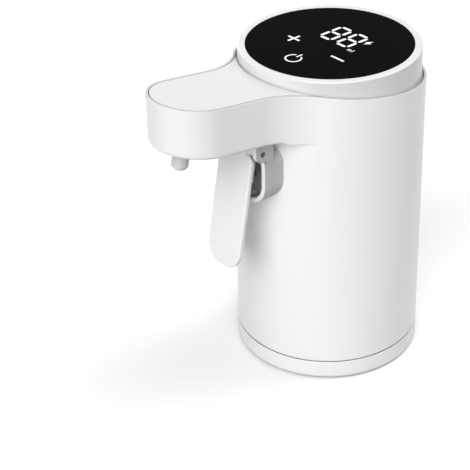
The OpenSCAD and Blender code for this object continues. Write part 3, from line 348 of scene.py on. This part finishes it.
# the lid in the darker copy of the white plastic, as painted shade
roundedCopy("top_cover", "topCover", [
    {"test": bezelTop, "width": coverSpec["bezelTop"], "segments": 4},
    {"test": bezelInside, "width": coverSpec["bezelInside"], "segments": 2},
    {"test": lidEdge, "width": coverSpec["lidEdge"], "segments": 2}],
    seam=lidPaintedShade, plastic=materials["lidShadedPlastic"])


# Base cover
baseSpec = {"edge": 0.2, "edgeFrom": bodyRadius - 0.5,
    "top": sizes["seam"] - sizes["seamLine"], "gapSlack": 0.05}


def baseSeam(p, faces):
    return atHeight(p, baseSpec["top"]) and radius(p) > baseSpec["edgeFrom"]


def baseGapShade(p, normal):
    # Painted shade on the ring that shows in the gap under the housing
    inGap = abs(p.z/mm - baseSpec["top"]) < baseSpec["gapSlack"]
    return paint["groove"] if inGap and normal.z > facing["level"] else paint["plastic"]


roundedCopy("base_cover", "baseCover", [
    {"test": baseSeam, "width": baseSpec["edge"], "segments": 3}], seam=baseGapShade)


# Trigger, the paddle in its own frame
paddleSpec = {"edge": 0.5, "hingeReach": bodyRadius + 6.3, "hingeHeight": 83.898, "lean": 10.3,
    "front": 0.2, "side": 5.6, "low": -34, "top": -2.2}  # limits of the edges that are rounded
hinge = Vector((0, -paddleSpec["hingeReach"]*mm, paddleSpec["hingeHeight"]*mm))
lean = math.radians(paddleSpec["lean"])


def paddlePoint(p):
    # A point in the paddle's own frame, in millimetres: y towards the body, z up along the paddle
    d = (p - hinge)/mm
    return Vector((d.x, d.y*math.cos(lean) - d.z*math.sin(lean), d.y*math.sin(lean) + d.z*math.cos(lean)))


def paddleEdge(p, faces):
    q = paddlePoint(p)
    rim = abs(q.x) > paddleSpec["side"] or q.z < paddleSpec["low"]
    return rim and q.y < paddleSpec["front"] and q.z < paddleSpec["top"]


roundedCopy("trigger", "triggerPaddle", [
    {"test": paddleEdge, "width": paddleSpec["edge"], "segments": 4}])


# Trigger's pocket
pocketSpec = {"lip": 0.6, "front": -(bodyRadius + 6), "lipTop": 81.2, "lipDepth": 0.7,
    "pinHole": 1.3, "holeFacing": 0.3,  # most distance from the pin's axis and normal's x in the hole
    "squareFacing": 0.9}  # a normal's x or y, least for a face that looks sideways or straight out


def pocketLip(p, faces):
    return abs(p.y/mm - pocketSpec["front"]) < near["front"] and p.z/mm < pocketSpec["lipTop"]


def pocketShade(p, normal):
    # Painted shade: white lip, greyer sides, dark inside the pocket and in the pin's holes
    fromPin = Vector((0, p.y, p.z)) - hinge
    lip = p.y/mm < pocketSpec["front"] + pocketSpec["lipDepth"]
    if fromPin.length < pocketSpec["pinHole"]*mm and abs(normal.x) < pocketSpec["holeFacing"]:
        return paint["groove"]
    if abs(normal.x) < pocketSpec["squareFacing"] and lip:
        return paint["plastic"]
    inside = p.x*normal.x < 0 or normal.y < -pocketSpec["squareFacing"]
    return paint["groove"] if inside and not lip else paint["seam"]


roundedCopy("trigger_bracket", "triggerPocket", [
    {"test": pocketLip, "width": pocketSpec["lip"], "segments": 4}], seam=pocketShade)


# Nozzle
nozzleSpec = {"edge": 0.35, "angle": 25, "low": -6.3, "reach": sizes["nozzleReach"]}


def nozzleEdge(p, faces):
    # How far a point lies along the nozzle's axis, from the arm's underside
    outward = nozzleSpec["reach"] + p.y/mm
    rise = p.z/mm - (underside + nozzleSpec["reach"]*slope)
    return rise*math.cos(tilt) - outward*math.sin(tilt) < nozzleSpec["low"]


roundedCopy("nozzle", "nozzle", [
    {"test": nozzleEdge, "width": nozzleSpec["edge"], "segments": 3, "angle": nozzleSpec["angle"]}],
    plastic=materials["nozzlePlastic"])
print("mouldings rounded")


# Trigger spring, a finer coil

springSpec = {"turns": 4.5, "coil": 1.9, "wire": 0.25, "steps": 40, "sides": 12,
    "start": -(bodyRadius + 2.1), "end": -(bodyRadius + 5), "height": paddleSpec["hingeHeight"] - 6}


def makeSpring(spec):
    work = bmesh.new()
    count = int(spec["turns"]*spec["steps"])
    length = spec["end"] - spec["start"]
    along = Vector((0, 1, 0))
    rings = []
    for i in range(count + 1):
        angle = 2*math.pi*i/spec["steps"]
        share = i/count
        centre = Vector((spec["coil"]*math.cos(angle), spec["start"] + length*share,
            spec["height"] + spec["coil"]*math.sin(angle)))
        outward = Vector((math.cos(angle), 0, math.sin(angle)))
        ring = []
        for k in range(spec["sides"]):
            turn = 2*math.pi*k/spec["sides"]
            offset = spec["wire"]*(math.cos(turn)*outward + math.sin(turn)*along)
            ring.append(work.verts.new((centre + offset)*mm))
        rings.append(ring)
    for a, b in zip(rings, rings[1:]):
        for k in range(spec["sides"]):
            n = (k + 1) % spec["sides"]
            work.faces.new((a[k], a[n], b[n], b[k]))
    work.faces.new(rings[0][::-1])
    work.faces.new(rings[-1])
    bmesh.ops.recalc_face_normals(work, faces=work.faces[:])
    mesh = bpy.data.meshes.new("springCoil")
    work.to_mesh(mesh)
    work.free()
    mesh.shade_smooth()
    mesh.materials.append(materials["brightSteel"])
    coil = bpy.data.objects.new("springCoil", mesh)
    bpy.context.scene.collection.objects.link(coil)
    return coil


springCoil = makeSpring(springSpec)
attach(springCoil, "housing")
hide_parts("trigger_spring")
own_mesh(springCoil)
print("spring made")


# Stage: pale floor, soft lamps, white surround for the camera and in reflections

def seenDirectly(tree):
    # 1 for camera, glossy and transmission rays, 0 for the light that falls on the object
    rays = tree.nodes.new("ShaderNodeLightPath")
    share = rays.outputs["Is Camera Ray"]
    for rayName in ("Is Glossy Ray", "Is Transmission Ray"):
        either = tree.nodes.new("ShaderNodeMath")
        either.operation = "MAXIMUM"
        tree.links.new(share, either.inputs[0])
        tree.links.new(rays.outputs[rayName], either.inputs[1])
        share = either.outputs["Value"]
    return share


def mixSeen(tree, lighting, seen, surface):
    # One shader for the light that reaches the object, another for what is seen directly
    mix = tree.nodes.new("ShaderNodeMixShader")
    tree.links.new(seenDirectly(tree), mix.inputs["Fac"])
    tree.links.new(lighting, mix.inputs[1])
    tree.links.new(seen, mix.inputs[2])
    tree.links.new(mix.outputs["Shader"], surface)


floorSpec = {"half": 3, "drop": 0.0002,
    "bounce": (0.19, 0.19, 0.2, 1),  # what the object sees of the floor
    "material": {"dark": (0.90, 0.90, 0.90), "light": (0.92, 0.92, 0.92), "rough": (0.7, 0.8),
        "toneScale": 3, "grain": 0.0, "sockets": {"Specular IOR Level": 0.1}}}
half = floorSpec["half"]
floorMesh = bpy.data.meshes.new("floorPlane")
floorCorners = [(-half, -half, 0), (half, -half, 0), (half, half, 0), (-half, half, 0)]
floorMesh.from_pydata(floorCorners, [], [(0, 1, 2, 3)])
floor = bpy.data.objects.new("floorPlane", floorMesh)
floor.location.z = -floorSpec["drop"]
bpy.context.scene.collection.objects.link(floor)
floorMaterial = makeMaterial("paleFloor", floorSpec["material"])
floorTree = floorMaterial.node_tree
floorBounce = floorTree.nodes.new("ShaderNodeBsdfDiffuse")
floorBounce.inputs["Color"].default_value = floorSpec["bounce"]
mixSeen(floorTree, floorBounce.outputs["BSDF"], floorTree.nodes["Principled BSDF"].outputs["BSDF"],
    floorTree.nodes["Material Output"].inputs["Surface"])
floorMesh.materials.append(floorMaterial)

lampDistance = 0.6
lamps = {
    "key": {"turn": 31, "rise": 31, "spread": 62, "power": 3.2},
    "fill": {"turn": 0, "rise": 12, "spread": 60, "power": 0.2},
    "top": {"turn": 170, "rise": 78, "spread": 50, "power": 1.2},
    "back": {"turn": 163, "rise": 40, "spread": 50, "power": 1.3},
    "rear": {"turn": 255, "rise": 10, "spread": 35, "power": 1.1}}  # turn from the arm's side, in degrees
for lampName, spec in lamps.items():
    light = bpy.data.lights.new(lampName, "SUN")
    light.angle = math.radians(spec["spread"])
    light.energy = spec["power"]
    lamp = bpy.data.objects.new(lampName, light)
    turn = math.radians(spec["turn"])
    rise = math.radians(spec["rise"])
    away = Vector((math.sin(turn)*math.cos(rise), -math.cos(turn)*math.cos(rise), math.sin(rise)))
    lamp.location = away*lampDistance
    lamp.rotation_mode = "QUATERNION"
    lamp.rotation_quaternion = away.to_track_quat("Z", "Y")
    bpy.context.scene.collection.objects.link(lamp)

worldSpec = {"light": 0.05, "seen": 1.0, "colour": (1, 1, 1, 1)}


def makeBackground(tree, strength):
    background = tree.nodes.new("ShaderNodeBackground")
    background.inputs["Color"].default_value = worldSpec["colour"]
    background.inputs["Strength"].default_value = strength
    return background.outputs["Background"]


world = bpy.data.worlds.new("studio")
bpy.context.scene.world = world
world.use_nodes = True
sky = world.node_tree
sky.nodes.clear()
skyOutput = sky.nodes.new("ShaderNodeOutputWorld")
mixSeen(sky, makeBackground(sky, worldSpec["light"]), makeBackground(sky, worldSpec["seen"]),
    skyOutput.inputs["Surface"])
print("stage made")


# Camera at the photograph's angle

# Place in millimetres from the part's origin, turn in degrees, pitch and roll in radians
cameraSpec = {"place": (322.57, -305.21, 309.46), "turn": 50.516, "pitch": 0.551, "roll": -0.024,
    "lens": 120.96, "sensor": 36, "clipStart": 0.01}
turn = math.radians(cameraSpec["turn"])
pitch = cameraSpec["pitch"]
roll = cameraSpec["roll"]
forward = Vector((-math.sin(turn)*math.cos(pitch), math.cos(turn)*math.cos(pitch), -math.sin(pitch)))
flatRight = Vector((math.cos(turn), math.sin(turn), 0))
flatUp = flatRight.cross(forward)
right = math.cos(roll)*flatRight + math.sin(roll)*flatUp
up = -math.sin(roll)*flatRight + math.cos(roll)*flatUp
cameraData = bpy.data.cameras.new("camera")
cameraData.lens = cameraSpec["lens"]
cameraData.sensor_width = cameraSpec["sensor"]
cameraData.clip_start = cameraSpec["clipStart"]
camera = bpy.data.objects.new("camera", cameraData)
cameraAxes = Matrix((right, up, -forward)).transposed().to_4x4()
camera.matrix_world = Matrix.Translation(Vector(cameraSpec["place"])*mm) @ cameraAxes
bpy.context.scene.collection.objects.link(camera)
bpy.context.scene.camera = camera
bpy.context.scene.view_settings.view_transform = "Standard"
